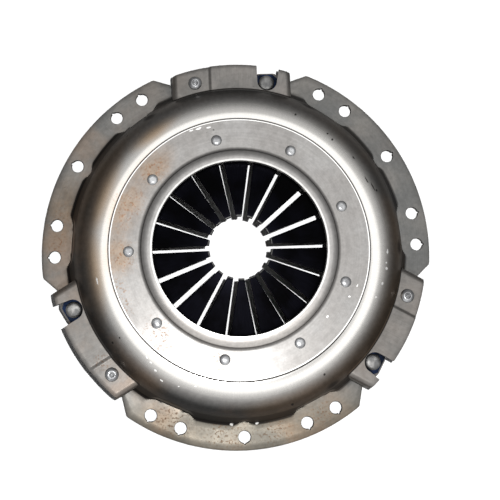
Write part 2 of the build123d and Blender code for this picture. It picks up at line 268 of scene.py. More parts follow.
# Node helpers
class Tree:
    """A node tree that is written one node at a time."""

    def __init__(self, tree):
        self.tree = tree
        self.nodes = tree.nodes

    def add(self, kind, **settings):
        node = self.nodes.new(kind)
        for name, value in settings.items():
            setattr(node, name, value)
        return node

    def put(self, socket, value):
        if isinstance(value, bpy.types.NodeSocket):
            self.tree.links.new(value, socket)
        else:
            socket.default_value = value

    def math(self, operation, first, second):
        node = self.add("ShaderNodeMath", operation=operation)
        self.put(node.inputs[0], first)
        self.put(node.inputs[1], second)
        return node.outputs[0]

    def times(self, first, second):
        return self.math("MULTIPLY", first, second)

    def plus(self, first, second):
        return self.math("ADD", first, second)

    def most(self, first, second):
        return self.math("MAXIMUM", first, second)

    def noise(self, vector, scale, detail=3.0, roughness=0.55):
        node = self.add("ShaderNodeTexNoise")
        self.put(node.inputs["Vector"], vector)
        self.put(node.inputs["Scale"], scale)
        self.put(node.inputs["Detail"], detail)
        self.put(node.inputs["Roughness"], roughness)
        return node.outputs["Fac"]

    def ramp(self, value, low, high, start=0.0, end=1.0):
        node = self.add("ShaderNodeMapRange", interpolation_type="SMOOTHSTEP")
        self.put(node.inputs["Value"], value)
        self.put(node.inputs["From Min"], low)
        self.put(node.inputs["From Max"], high)
        self.put(node.inputs["To Min"], start)
        self.put(node.inputs["To Max"], end)
        return node.outputs["Result"]

    def mix(self, share, first, second):
        node = self.add("ShaderNodeMix", data_type="RGBA")
        self.put(node.inputs["Factor"], share)
        self.put(node.inputs["A"], (*first, 1.0) if isinstance(first, tuple) else first)
        self.put(node.inputs["B"], (*second, 1.0) if isinstance(second, tuple) else second)
        return node.outputs["Result"]

    def bump(self, height, distance, strength=1.0):
        node = self.add("ShaderNodeBump")
        self.put(node.inputs["Height"], height)
        self.put(node.inputs["Distance"], distance)
        self.put(node.inputs["Strength"], strength)
        return node.outputs["Normal"]

    def blend(self, share, first, second):
        """A number between two others."""
        node = self.add("ShaderNodeMix", data_type="FLOAT")
        self.put(node.inputs[0], share)
        self.put(node.inputs[2], first)
        self.put(node.inputs[3], second)
        return node.outputs[0]

    def tinted(self, colour, tint):
        """A colour multiplied by another."""
        node = self.add("ShaderNodeVectorMath", operation="MULTIPLY")
        self.put(node.inputs[0], colour)
        self.put(node.inputs[1], tint)
        return node.outputs[0]

    def scaled(self, vector, factor):
        """A vector made longer or shorter, or a colour made lighter or darker."""
        node = self.add("ShaderNodeVectorMath", operation="SCALE")
        self.put(node.inputs[0], vector)
        self.put(node.inputs["Scale"], factor)
        return node.outputs[0]

    def combine(self, flat, third):
        """A vector whose X and Y come from another, with its own Z."""
        split = self.add("ShaderNodeSeparateXYZ")
        self.put(split.inputs[0], flat)
        joined = self.add("ShaderNodeCombineXYZ")
        self.put(joined.inputs[0], split.outputs[0])
        self.put(joined.inputs[1], split.outputs[1])
        self.put(joined.inputs[2], third)
        return joined.outputs[0]

    def round_axis(self, place):
        """Distance from the Z axis, the direction outward from it, and the height."""
        split = self.add("ShaderNodeSeparateXYZ")
        self.put(split.inputs[0], place)
        level = self.combine(place, 0.0)
        length = self.add("ShaderNodeVectorMath", operation="LENGTH")
        self.put(length.inputs[0], level)
        outward = self.add("ShaderNodeVectorMath", operation="NORMALIZE")
        self.put(outward.inputs[0], level)
        return length.outputs["Value"], outward.outputs[0], split.outputs["Z"]

    def colour_noise(self, vector, scale):
        """A noise whose three channels differ, centred on nothing."""
        node = self.add("ShaderNodeTexNoise")
        self.put(node.inputs["Vector"], vector)
        self.put(node.inputs["Scale"], scale)
        centred = self.add("ShaderNodeVectorMath", operation="SUBTRACT")
        self.put(centred.inputs[0], node.outputs["Color"])
        self.put(centred.inputs[1], (0.5, 0.5, 0.5))
        return centred.outputs[0]

    def marks(self, place, spots, outside=1.15, inside=0.7):
        """One inside some long spots, each given by radius, angle, half length and half width."""
        nearest = 10.0
        for radius, degrees, half_length, half_width in spots:
            angle = math.radians(degrees)
            centre = (radius * MM * math.cos(angle), radius * MM * math.sin(angle), 0.0)
            spot = self.add("ShaderNodeMapping", vector_type="TEXTURE")
            self.put(spot.inputs["Vector"], place)
            self.put(spot.inputs["Location"], centre)
            self.put(spot.inputs["Rotation"], (0.0, 0.0, angle))
            self.put(spot.inputs["Scale"], (half_width * MM, half_length * MM, 1.0))
            away = self.add("ShaderNodeVectorMath", operation="LENGTH")
            self.put(away.inputs[0], spot.outputs[0])
            nearest = self.math("MINIMUM", nearest, away.outputs["Value"])
        return self.ramp(nearest, outside, inside)

    def level_axes(self, place):
        """The two coordinates across the Z axis."""
        split = self.add("ShaderNodeSeparateXYZ")
        self.put(split.inputs[0], place)
        return split.outputs["X"], split.outputs["Y"]

    def band(self, value, rise_start, rise_end, fall_start, fall_end):
        """One inside a band of millimetres, and nothing outside it."""
        rise = self.ramp(value, rise_start * MM, rise_end * MM)
        return self.times(rise, self.ramp(value, fall_end * MM, fall_start * MM))


def new_material(name):
    material = bpy.data.materials.new(name)
    material.use_nodes = True
    tree = Tree(material.node_tree)
    shader = material.node_tree.nodes["Principled BSDF"]
    place = tree.add("ShaderNodeTexCoord").outputs["Object"]
    return material, tree, shader, place


# Marks that the photograph shows on the dome, light chips that are partly painted glints, dark scratches and
# painted glints at a pocket's cusps: pixel across, pixel down, then half length round the axis and half
# width in millimetres
crest_chips_and_glints = ((191, 130, 1.4, 0.5), (198, 128, 2.0, 0.6), (208, 127, 1.6, 0.5))
right_chips_and_glints = ((387, 251, 1.8, 0.7), (386, 262, 0.7, 0.6), (386, 268, 1.1, 0.8), (382, 283, 0.9, 0.8))
annulus_chips_and_glints = ((357, 285, 0.9, 0.4), (349, 296, 0.6, 0.6), (327, 316, 1.0, 0.5))
lower_chips_and_glints = (
    (146, 357, 0.9, 0.5), (150, 362, 1.0, 0.5), (155, 370, 1.2, 0.5),
    (161, 380, 1.1, 0.5), (178, 386, 0.6, 0.5), (195, 386, 0.6, 0.5),
)
upper_scratches = (
    (353, 157, 1.3, 0.5), (366, 179, 3.0, 0.45), (376, 190, 1.0, 0.7),
    (295, 114, 0.8, 0.8), (327, 133, 0.7, 0.7), (332, 139, 0.7, 0.7),
)
lower_scratches = ((112, 342, 0.7, 0.7), (119, 337, 0.7, 0.7), (292, 404, 1.0, 1.0), (324, 374, 0.8, 0.8))
# Painted glints at the two cusps where the bottom pocket meets the dome's foot
cusp_glint_points = ((231, 424, 1.2, 0.8), (256.5, 423, 1.2, 0.8))
cusp_glint_radius = foot_radius + 0.4
height_rounds = 30


def seen_on_dome(marks):
    """The marks with the radius and angle at which the camera sees their pixels on the dome."""
    profile = dome_profile(0.0)
    lens = camera_place / MM
    placed = []
    for across, down, half_length, half_width in marks:
        right = (across + 0.5 - centre_pixel[0]) / focal_pixels
        up = (centre_pixel[1] - down - 0.5) / focal_pixels
        ray = camera_turn @ Vector((right, up, -1.0))
        height = cover_height
        for _ in range(height_rounds):
            point = lens + ray * (height - lens.z) / ray.z
            radius = point.xy.length
            height = (height + float(np.interp(radius, profile[:, 0], profile[:, 1]))) / 2
        placed.append((radius, math.degrees(math.atan2(point.y, point.x)), half_length, half_width))
    return placed


# Marks and patches placed one by one: radius, angle in degrees, half length round the axis and half width
# Light chips on the shoulder, partly painted glints
shoulder_chips_and_glints = [(96.5, 338.0, 0.6, 0.6), (97.0, 191.0, 2.6, 0.5)]
shoulder_scratches = [(99.8, 22.5, 3.2, 0.45)]
rust_patches = (
    (78.0, 136.0, 13.0, 10.0), (79.0, 158.0, 21.0, 11.0), (77.0, 182.0, 13.0, 10.0),
    (77.0, 225.0, 13.0, 11.0), (84.0, 200.0, 16.0, 6.0), (76.0, 257.0, 6.0, 8.0),
    (125.0, 247.0, 15.0, 11.0), (125.0, 264.0, 18.0, 12.0), (125.0, 280.0, 18.0, 11.0),
    (125.0, 296.0, 12.0, 9.0), (125.0, 172.0, 20.0, 10.0), (119.0, 217.0, 8.0, 6.0),
)
dull_patches = ((127.0, 246.0, 24.0, 13.0),)
tan_patches = (
    (79.0, 134.0, 16.0, 10.0), (80.0, 157.0, 26.0, 10.0),
    (81.0, 182.0, 14.0, 9.0), (125.0, 167.0, 30.0, 14.0),
)
film_patches = ((98.5, 158.0, 34.0, 6.5), (98.5, 186.0, 38.0, 6.5), (97.0, 125.0, 18.0, 5.0))
# Painted shade on the flank beside the lobes' ends
lobe_end_shades = (
    (110.5, 61.5, 6.0, 1.8), (109.5, 358.5, 5.0, 2.0),
    (110.0, 302.5, 5.5, 2.2), (109.0, 122.0, 5.0, 2.0),
)


def by_coin_line(tree, radius, *steps):
    """One inside a band whose four limits are given from the coined line."""
    return tree.band(radius, *(coin_line_radius + step for step in steps))


def pressed_steel():
    """Bare oiled sheet: dull where it is flat, burnished at the dome's crest, brown and painted dark on its
    flank, with painted shade, highlights and glints.
    """
    material, tree, shader, place = new_material("pressed_steel")
    radius, outward, height = tree.round_axis(place)
    lean = 1 / math.tan(wall_angle)
    wall = foot_radius + sheet * lean
    beyond = tree.plus(radius, tree.times(height, lean))
    raised = tree.ramp(height, 6 * MM, 9 * MM)
    crest = tree.band(radius, 87.5, 88.6, 93.0, 103.0)
    flank = tree.times(tree.ramp(radius, 95 * MM, 108 * MM), tree.ramp(height, 3.6 * MM, 5.0 * MM))
    lobe = tree.times(raised, tree.ramp(beyond, (wall + 0.15) * MM, (wall + 0.5) * MM))
    # Painted shade along the line where the lobes meet the dome
    lobe_junction_shade = tree.times(raised, tree.band(beyond, wall - 0.2, wall + 0.1, wall + 0.5, wall + 1.1))
    # Painted shadow on the dome's foot, next to the flange
    foot = tree.times(tree.band(height, 3.55, 3.8, 5.0, 14.0), tree.ramp(radius, 112 * MM, 114 * MM))
    flange = tree.ramp(height, 5.0 * MM, 3.8 * MM)
    rim = tree.ramp(radius, 67.2 * MM, 66.4 * MM)
    near_x, near_y = tree.level_axes(place)
    stained_side = tree.plus(tree.times(near_x, -0.8), tree.times(near_y, -0.6))
    stained_side = tree.ramp(stained_side, -70 * MM, 80 * MM, 0.15, 1.0)
    bottom = tree.ramp(near_y, -90 * MM, -118 * MM)

    # Tones of the zones
    clouds = tree.ramp(tree.noise(place, 38.0, 5.0), 0.36, 0.66)
    colour = tree.mix(clouds, (0.25, 0.24, 0.23), (0.29, 0.283, 0.275))
    # The rim is painted lighter towards the bottom, a painted highlight
    rim_tone_lit_below = tree.mix(tree.ramp(near_y, -10 * MM, -58 * MM), (0.36, 0.35, 0.34), (0.48, 0.455, 0.43))
    colour = tree.mix(rim, colour, rim_tone_lit_below)
    # The opening's rounded edge is painted near white, a burnished edge with a painted highlight
    colour = tree.mix(tree.ramp(radius, 60.0 * MM, 59.3 * MM), colour, (0.70, 0.69, 0.67))
    colour = tree.mix(crest, colour, (0.60, 0.585, 0.56))
    # The flank's tone: brown staining, painted dark as painted shade for the dark surroundings it mirrors,
    # and painted lighter on its top side
    brown = tree.ramp(tree.noise(place, 9.0, 3.0), 0.42, 0.60)
    flank_shade_tone = tree.mix(brown, (0.052, 0.051, 0.050), (0.088, 0.066, 0.047))
    flank_shade_tone = tree.mix(tree.ramp(near_y, 55 * MM, 100 * MM), flank_shade_tone, (0.115, 0.112, 0.108))
    colour = tree.mix(flank, colour, flank_shade_tone)
    lobe_tone = tree.mix(clouds, (0.125, 0.121, 0.115), (0.17, 0.16, 0.15))
    colour = tree.mix(lobe, colour, lobe_tone)
    flange_tone = tree.mix(clouds, (0.11, 0.11, 0.107), (0.15, 0.144, 0.135))
    colour = tree.mix(flange, colour, flange_tone)

    # Brown film on the shoulder of the dome, tan patches and stains, then rust speckle
    film = tree.times(tree.marks(place, film_patches, 1.5, 0.1), 0.9)
    colour = tree.mix(film, colour, tree.tinted(colour, (0.94, 0.72, 0.52)))
    tanned = tree.ramp(tree.noise(place, 70.0, 5.0, 0.65), 0.3, 0.6, 0.35, 0.8)
    tanned = tree.times(tanned, tree.marks(place, tan_patches, 1.4, 0.3))
    colour = tree.mix(tanned, colour, tree.tinted(colour, (1.0, 0.76, 0.56)))
    stain = tree.ramp(tree.noise(place, 20.0, 6.0, 0.6), 0.44, 0.66)
    stain = tree.times(stain, tree.times(stained_side, 0.55))
    stain = tree.times(stain, tree.ramp(radius, 96 * MM, 106 * MM))
    colour = tree.mix(stain, colour, (0.17, 0.12, 0.085))
    low_flange = tree.times(tree.times(flange, bottom), 0.7)
    colour = tree.mix(low_flange, colour, tree.tinted(colour, (0.92, 0.82, 0.66)))
    dull = tree.times(flange, tree.marks(place, dull_patches, 1.5, 0.2))
    colour = tree.mix(dull, colour, tree.tinted(colour, (0.66, 0.64, 0.62)))
    speck = tree.ramp(tree.noise(place, 600.0, 3.0, 0.6), 0.53, 0.63)
    patch = tree.ramp(tree.noise(place, 75.0, 4.0, 0.65), 0.34, 0.52)
    patch = tree.times(patch, tree.marks(place, rust_patches, 1.4, 0.2))
    rust = tree.times(speck, patch)
    colour = tree.mix(tree.times(rust, 0.6), colour, tree.tinted(colour, (0.80, 0.47, 0.27)))

    # Draw marks run outward on the flank and lobes, turning marks run round the flat
    draw_place = tree.combine(tree.scaled(outward, 70.0), tree.times(radius, 9.0))
    draw_marks = tree.noise(draw_place, 3.0, 4.0, 0.65)
    turn_marks = tree.noise(tree.combine(tree.scaled(outward, 1.5), tree.times(radius, 900.0)), 1.0, 2.0)
    drawn = tree.most(tree.most(flank, lobe), crest)
    draw_depth = tree.blend(lobe, 0.03, 0.05)
    draw_shade = tree.plus(1.0, tree.times(draw_depth, tree.ramp(draw_marks, 0.35, 0.65, -1.0, 1.0)))
    turn_shade = tree.ramp(turn_marks, 0.35, 0.65, 0.96, 1.04)
    mottle = tree.ramp(tree.noise(place, 330.0, 4.0, 0.7), 0.3, 0.7, 0.90, 1.10)
    mottle = tree.blend(crest, mottle, 1.0)
    shade = tree.times(tree.blend(drawn, turn_shade, draw_shade), mottle)
    colour = tree.scaled(colour, shade)

    # Dirt and painted shade: painted shade where the lobes and the rim leave the sheet and beside the lobes'
    # ends, a painted shadow at the foot, painted shade and a painted highlight at the coined line, real pits
    # and scratches
    # Painted shade with some dirt in the crease where the rim rises from the flat
    rim_crease_shade_and_dirt = tree.band(radius, 65.2, 65.8, 66.4, 68.6)
    # Painted shade in the coined line and a painted highlight just inside it
    coin_line_shade = by_coin_line(tree, radius, -0.2, 0.0, 0.4, 0.6)
    coin_line_highlight = by_coin_line(tree, radius, -1.0, -0.85, -0.4, -0.2)
    colour = tree.mix(coin_line_highlight, colour, (0.92, 0.91, 0.89))
    dirt_and_shade = tree.most(tree.times(lobe_junction_shade, 0.9), tree.times(rim_crease_shade_and_dirt, 0.75))
    # Painted shade beside the lobes' ends
    dirt_and_shade = tree.most(dirt_and_shade, tree.times(tree.marks(place, lobe_end_shades, 1.3, 0.3), 0.75))
    # Broader painted shade in the coined line towards the bottom
    broad_coin_line_shade = by_coin_line(tree, radius, -0.3, -0.1, 0.7, 0.9)
    coin_line_shade = tree.most(coin_line_shade, tree.times(broad_coin_line_shade, tree.ramp(near_y, -45 * MM, -70 * MM)))
    dirt_and_shade = tree.most(dirt_and_shade, tree.times(coin_line_shade, 0.8))
    # The foot's painted shadow is strongest on the left and lower side
    foot_shadow_side = tree.plus(tree.times(near_x, -0.9), tree.times(near_y, -0.4))
    foot = tree.times(foot, tree.ramp(foot_shadow_side, -40 * MM, 70 * MM, 0.3, 0.95))
    dirt_and_shade = tree.most(dirt_and_shade, foot)
    pits = tree.ramp(tree.noise(place, 170.0, 2.0), 0.245, 0.20)
    dirt_and_shade = tree.most(dirt_and_shade, tree.times(pits, 0.55))
    worn_place = tree.add("ShaderNodeVectorMath", operation="MULTIPLY_ADD")
    tree.put(worn_place.inputs[0], tree.colour_noise(place, 700.0))
    tree.put(worn_place.inputs[1], (0.0014, 0.0014, 0.0))
    tree.put(worn_place.inputs[2], place)
    chips_and_glints = seen_on_dome(crest_chips_and_glints + right_chips_and_glints + annulus_chips_and_glints + lower_chips_and_glints) + shoulder_chips_and_glints
    chips_and_glints += [(cusp_glint_radius, *mark[1:]) for mark in seen_on_dome(cusp_glint_points)]
    scratches = seen_on_dome(upper_scratches + lower_scratches) + shoulder_scratches
    chips_and_glints_mask = tree.marks(worn_place.outputs[0], chips_and_glints)
    scratched = tree.marks(worn_place.outputs[0], scratches)
    dirt_and_shade = tree.most(dirt_and_shade, tree.times(scratched, 0.9))
    # Darkened where dirt, pits and scratches lie and where shade is painted
    colour = tree.mix(dirt_and_shade, colour, (0.014, 0.012, 0.011))
    # Light chips, partly bare metal and partly painted glints
    colour = tree.mix(tree.times(chips_and_glints_mask, 0.9), colour, (0.95, 0.94, 0.92))

    tree.put(shader.inputs["Base Color"], colour)
    tree.put(shader.inputs["Metallic"], 0.92)
    roughness = tree.blend(crest, tree.ramp(clouds, 0.0, 1.0, 0.36, 0.31), 0.17)
    roughness = tree.blend(flank, roughness, 0.34)
    roughness = tree.blend(lobe, roughness, 0.36)
    roughness = tree.blend(rust, roughness, 0.45)
    roughness = tree.blend(dirt_and_shade, roughness, 0.7)
    tree.put(shader.inputs["Roughness"], roughness)
    grain = tree.noise(place, 1100.0, 3.0)
    grain = tree.times(grain, tree.blend(crest, 0.4, 0.08))
    relief = tree.plus(grain, tree.times(draw_marks, 0.2))
    relief = tree.math("SUBTRACT", relief, tree.plus(pits, tree.times(rust, -0.3)))
    relief = tree.math("SUBTRACT", relief, tree.plus(scratched, tree.times(chips_and_glints_mask, -1.0)))
    tree.put(shader.inputs["Normal"], tree.bump(relief, 0.00003, 0.6))
    return material


def spring_steel():
    """Blue-black tempered plate, worn lighter towards the fingertips."""
    material, tree, shader, place = new_material("spring_steel")
    radius, outward, _ = tree.round_axis(place)
    clouds = tree.ramp(tree.noise(place, 45.0, 4.0), 0.35, 0.65)
    colour = tree.mix(clouds, (0.0012, 0.0011, 0.0014), (0.003, 0.003, 0.005))
    worn = tree.times(tree.ramp(radius, 34 * MM, 21 * MM), 0.7)
    colour = tree.mix(worn, colour, (0.006, 0.006, 0.010))
    # A light line at the fingertips: bare metal there, with a painted glint along the edge
    tip_glint_and_bare_metal = tree.band(radius, 20.9, 21.1, 21.35, 21.6)
    colour = tree.mix(tree.times(tip_glint_and_bare_metal, 0.6), colour, (0.30, 0.30, 0.29))
    marks = tree.noise(tree.combine(tree.scaled(outward, 45.0), tree.times(radius, 30.0)), 3.0, 3.0)
    colour = tree.scaled(colour, tree.ramp(marks, 0.35, 0.65, 0.8, 1.25))
    tree.put(shader.inputs["Base Color"], colour)
    tree.put(shader.inputs["Metallic"], 0.5)
    tree.put(shader.inputs["Specular IOR Level"], 0.02)
    tree.put(shader.inputs["Roughness"], tree.ramp(clouds, 0.0, 1.0, 0.50, 0.40))
    grain = tree.noise(place, 800.0, 3.0)
    tree.put(shader.inputs["Normal"], tree.bump(grain, 0.00002, 0.5))
    return material


def cast_iron():
    """Grey cast iron: turned face, rough skin, a little rust."""
    material, tree, shader, place = new_material("cast_iron")
    radius, outward, height = tree.round_axis(place)
    face = tree.ramp(height, 4.3 * MM, 4.05 * MM)
    grain = tree.noise(place, 650.0, 4.0)
    clouds = tree.ramp(tree.noise(place, 30.0, 4.0), 0.35, 0.65)
    skin = tree.mix(clouds, (0.12, 0.115, 0.11), (0.20, 0.19, 0.18))
    grooves = tree.noise(tree.combine(tree.scaled(outward, 0.8), tree.times(radius, 1400.0)), 1.0, 2.0)
    turned_tone = tree.mix(tree.ramp(grooves, 0.35, 0.65), (0.30, 0.295, 0.29), (0.44, 0.435, 0.43))
    colour = tree.mix(face, skin, turned_tone)
    rust = tree.ramp(tree.noise(place, 140.0, 5.0), 0.58, 0.70, 0.0, 0.5)
    colour = tree.mix(rust, colour, (0.17, 0.085, 0.045))
    tree.put(shader.inputs["Base Color"], colour)
    tree.put(shader.inputs["Metallic"], 0.75)
    tree.put(shader.inputs["Roughness"], tree.blend(face, 0.6, 0.32))
    relief = tree.blend(face, grain, tree.times(grooves, 0.3))
    tree.put(shader.inputs["Normal"], tree.bump(relief, 0.00012, 0.6))
    return material


def plain_metal(name, dark, light, roughness, dent_scale=1500.0, dent_depth=0.00002):
    """Drawn, blued or plated steel, with a fine uneven tone."""
    material, tree, shader, place = new_material(name)
    clouds = tree.ramp(tree.noise(place, 160.0, 4.0), 0.35, 0.65)
    colour = tree.mix(clouds, dark, light)
    scuff = tree.ramp(tree.noise(place, 900.0, 3.0, 0.7), 0.60, 0.72, 0.0, 0.5)
    colour = tree.mix(scuff, colour, tuple(channel * 0.5 for channel in dark))
    tree.put(shader.inputs["Base Color"], colour)
    tree.put(shader.inputs["Metallic"], 0.95)
    tree.put(shader.inputs["Roughness"], tree.ramp(clouds, 0.0, 1.0, roughness + 0.06, roughness))
    grain = tree.noise(place, dent_scale, 2.0)
    tree.put(shader.inputs["Normal"], tree.bump(grain, dent_depth, 0.5))
    return material


finishes = {
    "pressed_steel": pressed_steel(),
    "spring_steel": spring_steel(),
    "cast_iron": cast_iron(),
    "ring_wire": plain_metal("ring_wire", (0.34, 0.34, 0.34), (0.46, 0.46, 0.47), 0.32),
    "strap_steel": plain_metal("strap_steel", (0.003, 0.0045, 0.008), (0.008, 0.015, 0.038), 0.32),
    "plated_rivet": plain_metal(
        "plated_rivet", (0.20, 0.20, 0.205), (0.40, 0.405, 0.41), 0.24, 420.0, 0.00035
    ),
    "worn_rivet": plain_metal("worn_rivet", (0.13, 0.13, 0.13), (0.30, 0.295, 0.285), 0.46, 300.0, 0.00035),
    "sheared_edge": plain_metal("sheared_edge", (0.035, 0.032, 0.03), (0.075, 0.07, 0.065), 0.45),
}


# Mesh helpers
def as_piece(name, points, faces, material, smooth_angle=40.0):
    """A mesh piece from points in millimetres, with its doubles merged and its faces outward."""
    mesh = bpy.data.meshes.new(name)
    mesh.from_pydata([tuple(point) for point in np.asarray(points) * MM], [], faces)
    work = bmesh.new()
    work.from_mesh(mesh)
    bmesh.ops.remove_doubles(work, verts=work.verts, dist=0.002 * MM)
    bmesh.ops.dissolve_degenerate(work, dist=0.002 * MM, edges=work.edges)
    bmesh.ops.recalc_face_normals(work, faces=work.faces)
    work.to_mesh(mesh)
    work.free()
    piece = bpy.data.objects.new(name, mesh)
    scene.collection.objects.link(piece)
    piece.data.materials.append(material)
    finish_shading(piece, smooth_angle)
    return piece


def finish_shading(piece, smooth_angle):
    piece.data.shade_smooth()
    piece.data.set_sharp_from_angle(angle=math.radians(smooth_angle))


def apply_modifiers(piece):
    """Bakes a piece's modifiers into its mesh."""
    shape = piece.evaluated_get(bpy.context.evaluated_depsgraph_get())
    mesh = bpy.data.meshes.new_from_object(shape)
    piece.modifiers.clear()
    piece.data = mesh


def round_edges(piece, width, angle=35.0, segments=2):
    bevel = piece.modifiers.new("edges", "BEVEL")
    bevel.width = width * MM
    bevel.segments = segments
    bevel.limit_method = "ANGLE"
    bevel.angle_limit = math.radians(angle)
    bevel.use_clamp_overlap = True
    apply_modifiers(piece)


def cut_away(piece, cutter):
    """Cuts one closed mesh out of another, and deletes the cutter."""
    cut = piece.modifiers.new("cut", "BOOLEAN")
    cut.operation = "DIFFERENCE"
    cut.solver = "EXACT"
    cut.material_mode = "TRANSFER"
    cut.object = cutter
    apply_modifiers(piece)
    bpy.data.objects.remove(cutter)


def grid_faces(rows, columns, first=0, flip=False, closed=False):
    """Quads of a grid whose points are numbered row by row."""
    faces = []
    for row in range(rows if closed else rows - 1):
        following = (row + 1) % rows
        for column in range(columns - 1):
            corners = [
                first + row * columns + column,
                first + following * columns + column,
                first + following * columns + column + 1,
                first + row * columns + column + 1,
            ]
            faces.append(corners[::-1] if flip else corners)
    return faces


def turned(name, section, material, turns=96, smooth_angle=40.0):
    """A closed ring or a solid, turned about the Z axis from a section of radius and height."""
    points = []
    for turn in range(turns):
        angle = 2 * math.pi * turn / turns
        for radius, height in section:
            points.append((radius * math.cos(angle), radius * math.sin(angle), height))
    faces = grid_faces(turns, len(section), closed=True)
    return as_piece(name, points, faces, material, smooth_angle)


def prism(outline, low, high):
    """Points and faces of an upright prism over an outline."""
    count = len(outline)
    points = [(x, y, low) for x, y in outline] + [(x, y, high) for x, y in outline]
    faces = [list(range(count))[::-1], list(range(count, 2 * count))]
    for side in range(count):
        after = (side + 1) % count
        faces.append([side, after, count + after, count + side])
    return points, faces


# Cover
def spread(*stops):
    """Values that run through the stops, each stop given with the step up to the next."""
    values = []
    for (start, step), (end, _) in zip(stops, stops[1:]):
        count = max(1, round((end - start) / step))
        values.extend(start + (end - start) * index / count for index in range(count))
    values.append(stops[-1][0])
    return np.array(values)


line_radius = 122.0
lobe_line_end = math.radians(21.5)
plain_line_start = math.radians(31.0)


def cover_lines():
    """Angles of the grid lines round one lobe, close together at its walls and at the pockets."""
    wall_stops = ((34.0, 0.8), (36.4, 0.28), (42.6, 0.5), (44.6, 1.0))
    wall_lines = spread((0.0, 2.0), (16.0, 1.6), *wall_stops)
    pad_lines = spread((0.0, 2.0), (12.0, 0.45), (17.5, 1.7), *wall_stops)
    plain = np.radians(spread((21.7, 0.55), (60.0, 0.5)))
    notch_side = -np.arcsin(wall_lines[1:] / line_radius)[::-1]
    pad_side = np.arcsin(pad_lines / line_radius)
    return np.concatenate([-plain[::-1], notch_side, pad_side, plain])


def bent_line(lines, radius):
    """Angle of each grid line at a radius: straight out along the lobe's walls, polar elsewhere."""
    across = line_radius * np.sin(lines)
    straight = np.arcsin(np.clip(across / radius, -1, 1))
    share = (1 - smooth_step(np.abs(lines), lobe_line_end, plain_line_start)) * smooth_step(radius, 88, 106)
    return lines + share * (straight - lines)


def cover_reach(lines):
    """How far out each grid line goes: the lobe's trim, the cut corner or the flange's round edge."""
    reach = np.full(len(lines), flange_radius)
    corner = (flange_radius * math.cos(corner_angle), flange_radius * math.sin(corner_angle))
    foot = (lobe_trim_radius - corner_setback, lobe_half_width)
    slope = (corner[0] - foot[0]) / (corner[1] - foot[1])
    for index, line in enumerate(lines):
        if abs(line_radius * math.sin(line)) <= lobe_half_width + 0.05:
            reach[index] = lobe_trim_radius
            continue
        for radius in np.arange(foot_radius, flange_radius, 0.02):
            angle = abs(bent_line(np.array([line]), np.array([radius]))[0])
            if radius * math.cos(angle) > foot[0] + slope * (radius * math.sin(angle) - foot[1]):
                reach[index] = radius
                break
    return reach


def cover_grid(radii, depth):
    """Points of one face of the sheet, line by line round all three lobes."""
    lines = cover_lines()
    reach = cover_reach(lines)
    points = []
    for lobe in range(lobe_count):
        turn = first_lobe_angle + lobe * 2 * math.pi / lobe_count
        beyond = np.clip(radii - foot_radius, 0, None)[None, :]
        scale = ((reach - foot_radius) / (flange_radius - foot_radius))[:, None]
        radius = np.minimum(radii, foot_radius)[None, :] + beyond * scale
        angle = np.stack([bent_line(lines, radius[:, column]) for column in range(len(radii))], axis=1)
        height = cover_face(radius, angle, depth)
        if depth == 0:
            height[:, -1] -= edge_chamfer
        else:
            height[:, -1] += edge_chamfer
        block = np.stack([radius * np.cos(angle + turn), radius * np.sin(angle + turn), height], axis=-1)
        points.append(block[:-1])
    return np.concatenate(points)


def notch_outline():
    """The notch over a lug rivet, open to the lobe's edge, with its round bottom."""
    reach = flange_radius - strap_line
    flare = reach * math.tan(notch_flare)
    points = [(strap_line + reach, -strap_lug_offset - notch_radius - flare)]
    points.append((strap_line + reach, -strap_lug_offset + notch_radius))
    for step in range(25):
        angle = math.pi / 2 + math.pi * step / 24
        points.append(
            (
                strap_line + notch_radius * math.cos(angle),
                -strap_lug_offset + notch_radius * math.sin(angle),
            )
        )
    return points


def turn_point(point, angle):
    x, y = point
    return (x * math.cos(angle) - y * math.sin(angle), x * math.sin(angle) + y * math.cos(angle))


def cutters():
    """Bolt holes, chamfered and nicked on their outer side, and the three notches."""
    points, faces = [], []

    def add(new_points, new_faces):
        start = len(points)
        points.extend(new_points)
        faces.extend([start + corner for corner in face] for face in new_faces)

    around_hole = list(spread((-0.24, 0.04), (0.24, 0.15), (2 * math.pi - 0.24, 1)))[:-1]
    section = [
        (0.0, -3.0),
        (bolt_hole_radius + 3.0, -3.0),
        (bolt_hole_radius, 0.25),
        (bolt_hole_radius, sheet - 0.25),
        (bolt_hole_radius + 3.0, sheet + 2.75),
        (0.0, sheet + 2.75),
    ]
    for lobe in range(lobe_count):
        turn = first_lobe_angle + lobe * 2 * math.pi / lobe_count
        for bolt_angle in bolt_angles:
            angle = math.radians(bolt_angle) + turn
            centre = (bolt_radius * math.cos(angle), bolt_radius * math.sin(angle))
            new_points = []
            for around in around_hole:
                room = 1 - (around * bolt_hole_radius / nick_half_width) ** 2
                nick = nick_depth * math.sqrt(max(room, 0.0))
                x, y = math.cos(angle + around), math.sin(angle + around)
                for radius, height in section:
                    reach = radius + nick if radius else 0.0
                    new_points.append((centre[0] + reach * x, centre[1] + reach * y, height))
            add(new_points, grid_faces(len(around_hole), len(section), closed=True))
        outline = [turn_point(point, turn) for point in notch_outline()]
        add(*prism(outline, sheet, 2 * cover_height))
    return as_piece("cutters", points, faces, finishes["sheared_edge"])


